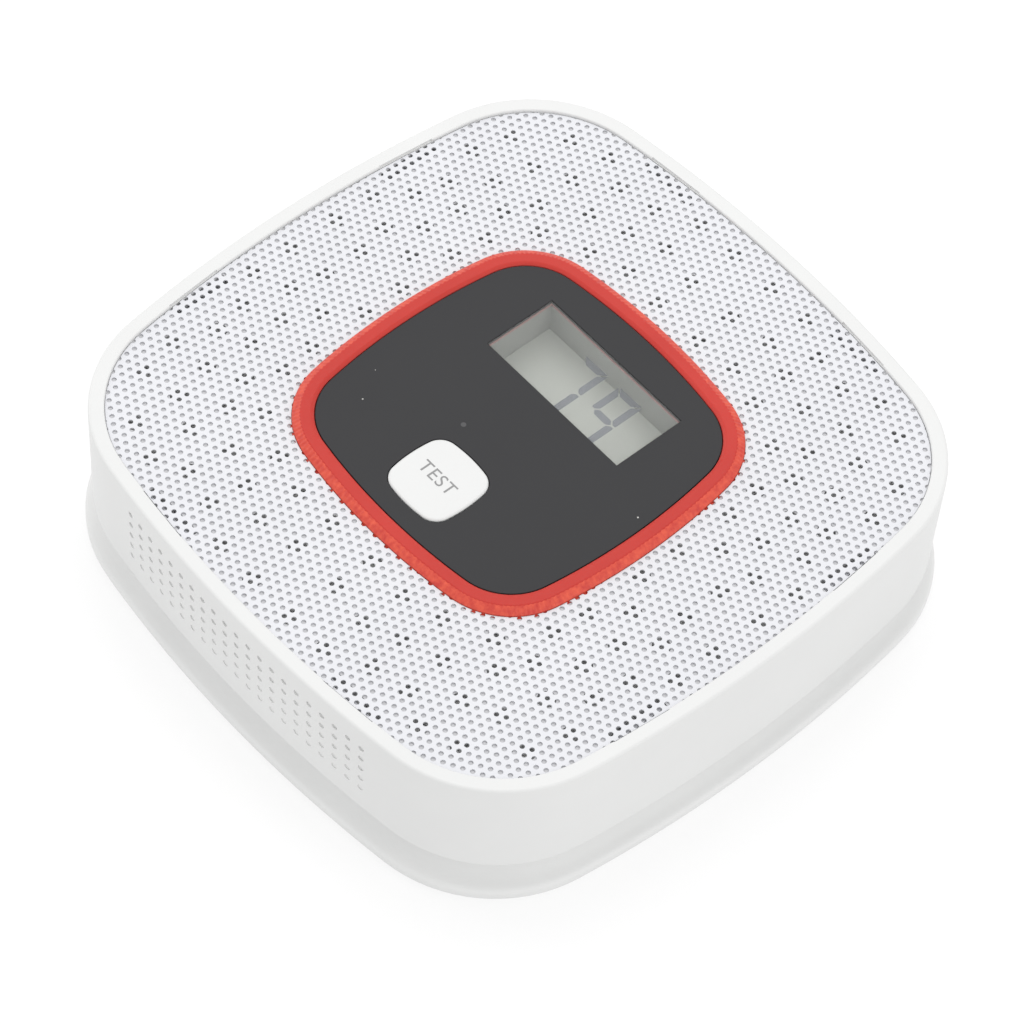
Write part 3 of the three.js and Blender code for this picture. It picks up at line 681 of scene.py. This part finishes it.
def place(tree):
    """The point on the piece, in metres, which doesn't move with the view."""
    return add_node(tree, "ShaderNodeTexCoord").outputs["Object"]


def spread(tree, value, low, high, to_low=0.0, to_high=1.0):
    ends = {"i1": low, "i2": high, "i3": to_low, "i4": to_high}
    return add_node(tree, "ShaderNodeMapRange", {"clamp": True}, i0=value, **ends).outputs[0]


GRAIN, entry, leave = new_group("Moulded Grain", {"Size mm": 0.3}, ["Height"])
scale = maths(GRAIN, "DIVIDE", 1000.0, entry.outputs["Size mm"])
noise = {"Detail": 2.0, "Roughness": 0.6}
fine = add_node(GRAIN, "ShaderNodeTexNoise", Vector=place(GRAIN), Scale=scale, **noise)
GRAIN.links.new(fine.outputs["Fac"], leave.inputs["Height"])

DUST, entry, leave = new_group("Dust", {"Amount": 0.1, "Size mm": 1.0}, ["Mask"])
scale = maths(DUST, "DIVIDE", 1000.0, entry.outputs["Size mm"])
cells = add_node(DUST, "ShaderNodeTexVoronoi", Vector=place(DUST), Scale=scale)
drawn = add_node(DUST, "ShaderNodeSeparateColor", i0=cells.outputs["Color"])
speck_size = maths(DUST, "MULTIPLY", drawn.outputs[0], 0.12)
speck = maths(DUST, "LESS_THAN", cells.outputs["Distance"], speck_size)
chosen = maths(DUST, "LESS_THAN", drawn.outputs[1], entry.outputs["Amount"])
normal = add_node(DUST, "ShaderNodeNewGeometry").outputs["Normal"]
facing = add_node(DUST, "ShaderNodeSeparateXYZ", i0=normal).outputs[2]
upward = maths(DUST, "GREATER_THAN", facing, 0.7)
settled = maths(DUST, "MULTIPLY", speck, chosen)
DUST.links.new(maths(DUST, "MULTIPLY", settled, upward), leave.inputs["Mask"])

# Real handling in most finishes; made fine on the red ring, it draws painted glints.
HANDLING_AND_GLINTS, entry, leave = new_group("Handling and Glints", {"Size mm": 20.0}, ["Blotch"])
scale = maths(HANDLING_AND_GLINTS, "DIVIDE", 1000.0, entry.outputs["Size mm"])
noise = {"Detail": 4.0, "Roughness": 0.55}
slow = add_node(HANDLING_AND_GLINTS, "ShaderNodeTexNoise", Vector=place(HANDLING_AND_GLINTS), Scale=scale, **noise)
HANDLING_AND_GLINTS.links.new(spread(HANDLING_AND_GLINTS, slow.outputs["Fac"], 0.3, 0.7), leave.inputs["Blotch"])
print("shared effects:", [group.name for group in bpy.data.node_groups])

# %% [markdown]
# ## Finishes
#
# Each finish is a Principled shader. Its colour moves between two close tones with the blotch, its roughness
# changes a little with it too, and its grain drives a bump. Constant values are set on the shader itself.

# %%


def blend(tree, amount, low, high):
    """A colour between two others: each is a socket or a plain colour."""
    return add_node(tree, "ShaderNodeMix", {"data_type": "RGBA"}, i0=amount, i6=low, i7=high).outputs[2]


def finish(
    name, low, high, roughness, grain_mm=0.3, bump=0.01, dust=0.0, dust_mm=1.5, blotch_mm=20.0, **fixed
):
    """A finish whose colour runs from low to high and whose roughness is a (low, high) pair."""
    material = bpy.data.materials.new(name)
    material.use_nodes = True
    tree = material.node_tree
    shader = tree.nodes["Principled BSDF"]
    handling_and_glints = add_node(tree, "ShaderNodeGroup", {"node_tree": HANDLING_AND_GLINTS}, Size_mm=blotch_mm)
    blotch = handling_and_glints.outputs["Blotch"]
    tone = blend(tree, blotch, (*low, 1), (*high, 1))
    if dust:
        specks = add_node(tree, "ShaderNodeGroup", {"node_tree": DUST}, Amount=dust, Size_mm=dust_mm)
        tone = blend(tree, specks.outputs["Mask"], tone, (0.55, 0.54, 0.52, 1))
    tree.links.new(tone, shader.inputs["Base Color"])
    tree.links.new(spread(tree, blotch, 0.0, 1.0, *roughness), shader.inputs["Roughness"])
    height = add_node(tree, "ShaderNodeGroup", {"node_tree": GRAIN}, Size_mm=grain_mm).outputs["Height"]
    relief = add_node(tree, "ShaderNodeBump", Height=height, Distance=bump * MM, Strength=1.0)
    tree.links.new(relief.outputs["Normal"], shader.inputs["Normal"])
    for key, value in fixed.items():
        shader.inputs[key.replace("_", " ")].default_value = value
    return material


WHITE = finish("white_moulding", (0.70, 0.702, 0.697), (0.725, 0.728, 0.722), (0.42, 0.5), dust=0.02)
# Painted shade: the sunken face is the same white moulding, painted a darker grey because it lies in the shade
# under the grille.
SHADED_FACE = finish("white_face_painted_shade", (0.58, 0.58, 0.595), (0.61, 0.61, 0.625), (0.5, 0.6))
SHEET = finish("white_painted_sheet", (0.68, 0.685, 0.715), (0.71, 0.715, 0.745), (0.42, 0.5), bump=0.006)
RED = finish(
    "red_lens", (0.50, 0.047, 0.038), (0.56, 0.055, 0.044), (0.3, 0.38), bump=0.004, Specular_IOR_Level=0.12,
    Subsurface_Weight=0.15, Subsurface_Radius=(0.002, 0.0004, 0.0003), Subsurface_Scale=1.0,
)
# Painted light: a lighter red than the lens, with orange flecks, for the ring's outer slope and wall, which
# face away from the lamps. The flecks are painted glints on the flutes.
PAINTED_LIGHT_RED = finish(
    "red_lens_painted_light", (0.55, 0.055, 0.045), (0.73, 0.11, 0.066), (0.3, 0.4), bump=0.01, blotch_mm=0.9,
    Specular_IOR_Level=0.2,
)
EDGE = finish("red_tinted_edge", (0.40, 0.21, 0.20), (0.46, 0.25, 0.24), (0.4, 0.5), bump=0.0)
PANEL = finish(
    "dark_panel", (0.031, 0.031, 0.033), (0.036, 0.036, 0.038), (0.55, 0.62), grain_mm=0.2, dust=0.06,
    dust_mm=2.5, Specular_IOR_Level=0.25,
)
SPOT = finish(
    "status_spot", (0.07, 0.07, 0.073), (0.08, 0.08, 0.083), (0.4, 0.5), bump=0.0, Specular_IOR_Level=0.3
)
LINER = finish("display_liner", (0.30, 0.31, 0.29), (0.33, 0.34, 0.32), (0.5, 0.6), grain_mm=0.2)
CLEAR = finish("clear_plastic", (0.90, 0.92, 0.90), (0.95, 0.96, 0.95), (0.02, 0.04), bump=0.0, Alpha=0.06)
GLASS = finish(
    "display_glass", (0.45, 0.47, 0.43), (0.48, 0.50, 0.46), (0.3, 0.35), bump=0.0, Specular_IOR_Level=0.2
)
DIGIT = finish(
    "display_segment", (0.165, 0.178, 0.2), (0.178, 0.19, 0.212), (0.3, 0.35), bump=0.0,
    Specular_IOR_Level=0.2,
)
BLACK = finish("black_moulding", (0.02, 0.02, 0.022), (0.03, 0.03, 0.032), (0.45, 0.55))
RUBBER = finish("dark_rubber", (0.03, 0.03, 0.034), (0.05, 0.05, 0.055), (0.7, 0.85), grain_mm=0.5)
BOARD = finish("solder_mask", (0.015, 0.12, 0.045), (0.02, 0.16, 0.06), (0.3, 0.4), Coat_Weight=0.3)
STEEL = finish(
    "plated_steel", (0.55, 0.55, 0.56), (0.65, 0.65, 0.66), (0.2, 0.35), grain_mm=0.6, bump=0.003,
    Metallic=1.0,
)
WRAP = finish("battery_wrap", (0.03, 0.10, 0.20), (0.04, 0.13, 0.25), (0.25, 0.35), Coat_Weight=0.4)
PRINT = finish("grey_print", (0.25, 0.25, 0.25), (0.29, 0.29, 0.29), (0.5, 0.55), bump=0.001)

BY_SLOT = {
    "white_plastic": WHITE,
    "white_metal": SHEET,
    "red_lens": RED,
    "dark_panel": PANEL,
    "clear_plastic": CLEAR,
    "display_glass": GLASS,
    "black_plastic": BLACK,
    "rubber": RUBBER,
    "circuit_board": BOARD,
    "steel": STEEL,
    "battery_wrap": WRAP,
}
for entry in frame["record"]["subparts"]:
    slots_of = frame["nodes"][entry["node"]].data.materials
    slots_of.clear()
    slots_of.append(BY_SLOT[entry["material_slot"]])
made = {
    front_cover: WHITE,
    grille: SHEET,
    light_guide: RED,
    display_panel: PANEL,
    display_window: CLEAR,
    button_cap: WHITE,
    button_word: PRINT,
    status_spot: SPOT,
    display_liner: LINER,
    display_glass: GLASS,
    display_digits: DIGIT,
    back_cover: WHITE,
    mounting_bracket: WHITE,
}
for piece, material in made.items():
    piece.data.materials.clear()
    piece.data.materials.append(material)


def paint_faces(piece, material, chosen):
    """Gives a second finish to the faces whose middle, in millimetres, is chosen."""
    piece.data.materials.append(material)
    for face in piece.data.polygons:
        if chosen(*(face.center / MM)):
            face.material_index = len(piece.data.materials) - 1


# The ring's outer slope and wall get the painted light and painted glints.
paint_faces(light_guide, PAINTED_LIGHT_RED, lambda x, y, z: z > 28.3 and outside_by(RING, x, y) > -1.15)
paint_faces(display_liner, EDGE, lambda x, y, z: z > 28.3)
# The face seen through the grille's holes gets the painted shade.
paint_faces(front_cover, SHADED_FACE, lambda x, y, z: abs(z - FACE_TOP) < 0.01)
print("finishes:", len(bpy.data.materials))

# %% [markdown]
# ## Floor, light and camera
#
# A plain pale floor and soft light from all round, with a broad lamp above and behind to give the rim its
# highlight, and one on each side. The floor glows a little, so the shadow on it is faint. It throws no light
# or shadow on the box, and it can't be seen from below. The camera looks down on one corner of the box
# through a long lens.

# %%
FLOOR_Z, FLOOR_HALF = -0.00002, 3
floor_mesh = bpy.data.meshes.new("floor")
floor_corners = [(x, y, FLOOR_Z) for x, y in rectangle(FLOOR_HALF, FLOOR_HALF)]
floor_mesh.from_pydata(floor_corners, [], [(0, 1, 2, 3)])
floor = bpy.data.objects.new("floor", floor_mesh)
bpy.context.scene.collection.objects.link(floor)
FLOOR = finish(
    "pale_floor", (0.985, 0.985, 0.985), (0.99, 0.99, 0.99), (0.8, 0.9), bump=0.0, Specular_IOR_Level=0.2
)
floor.data.materials.append(FLOOR)
floor.visible_diffuse = False
floor.visible_shadow = False
floor_tree = FLOOR.node_tree
seen_from_below = add_node(floor_tree, "ShaderNodeNewGeometry").outputs["Backfacing"]
see_through = add_node(floor_tree, "ShaderNodeBsdfTransparent").outputs[0]
paper = floor_tree.nodes["Principled BSDF"].outputs[0]
backlight = add_node(floor_tree, "ShaderNodeEmission", Color=(1, 1, 1, 1), Strength=1.0).outputs[0]
solid = add_node(floor_tree, "ShaderNodeMixShader", i0=0.6, i1=paper, i2=backlight).outputs[0]
mix = add_node(floor_tree, "ShaderNodeMixShader", i0=seen_from_below, i1=solid, i2=see_through)
floor_tree.links.new(mix.outputs[0], floor_tree.nodes["Material Output"].inputs["Surface"])

world = bpy.data.worlds.new("studio")
bpy.context.scene.world = world
world.use_nodes = True
world.node_tree.nodes["Background"].inputs["Color"].default_value = (1, 1, 1, 1)
world.node_tree.nodes["Background"].inputs["Strength"].default_value = 0.97


def soft_lamp(name, place_at, look_at, size, power):
    lamp = bpy.data.lights.new(name, "AREA")
    lamp.size = size
    lamp.energy = power
    holder = bpy.data.objects.new(name, lamp)
    holder.location = place_at
    holder.rotation_euler = (Vector(look_at) - Vector(place_at)).to_track_quat("-Z", "Y").to_euler()
    bpy.context.scene.collection.objects.link(holder)


soft_lamp("key", (-0.45, 0.5, 1.1), (0, 0, 0), 0.9, 3.3)
soft_lamp("side", (1.1, 0.2, 0.7), (0, 0, 0), 0.8, 2.2)
soft_lamp("far_side", (-1.1, -0.2, 0.6), (0, 0, 0), 0.8, 2.5)

azimuth, elevation, roll = (math.radians(value) for value in (45.10, 54.575, 4.663))
DISTANCE = 0.6992
flat = math.cos(elevation)
back = Vector((math.sin(azimuth) * flat, -math.cos(azimuth) * flat, math.sin(elevation)))
level = (-back).cross(Vector((0, 0, 1))).normalized()
upright = level.cross(-back)
right = level * math.cos(roll) + upright * math.sin(roll)
up = upright * math.cos(roll) - level * math.sin(roll)
target = Vector((11.16, -11.07, RIM_TOP)) * MM
camera_data = bpy.data.cameras.new("camera")
camera_data.sensor_width = 36
camera_data.lens = 165.9
camera_data.clip_end = 20
camera = bpy.data.objects.new("camera", camera_data)
facing_back = Matrix((right, up, back)).transposed().to_4x4()
camera.matrix_world = Matrix.Translation(target + back * DISTANCE) @ facing_back
bpy.context.scene.collection.objects.link(camera)
bpy.context.scene.camera = camera
bpy.context.scene.view_settings.view_transform = "Standard"
print("camera at", [round(value, 4) for value in camera.matrix_world.translation])

# %% [markdown]
# ## Last cell
#
# The pieces already ride on the bodies that carry them, and this cell only imports json.

# %%
import json
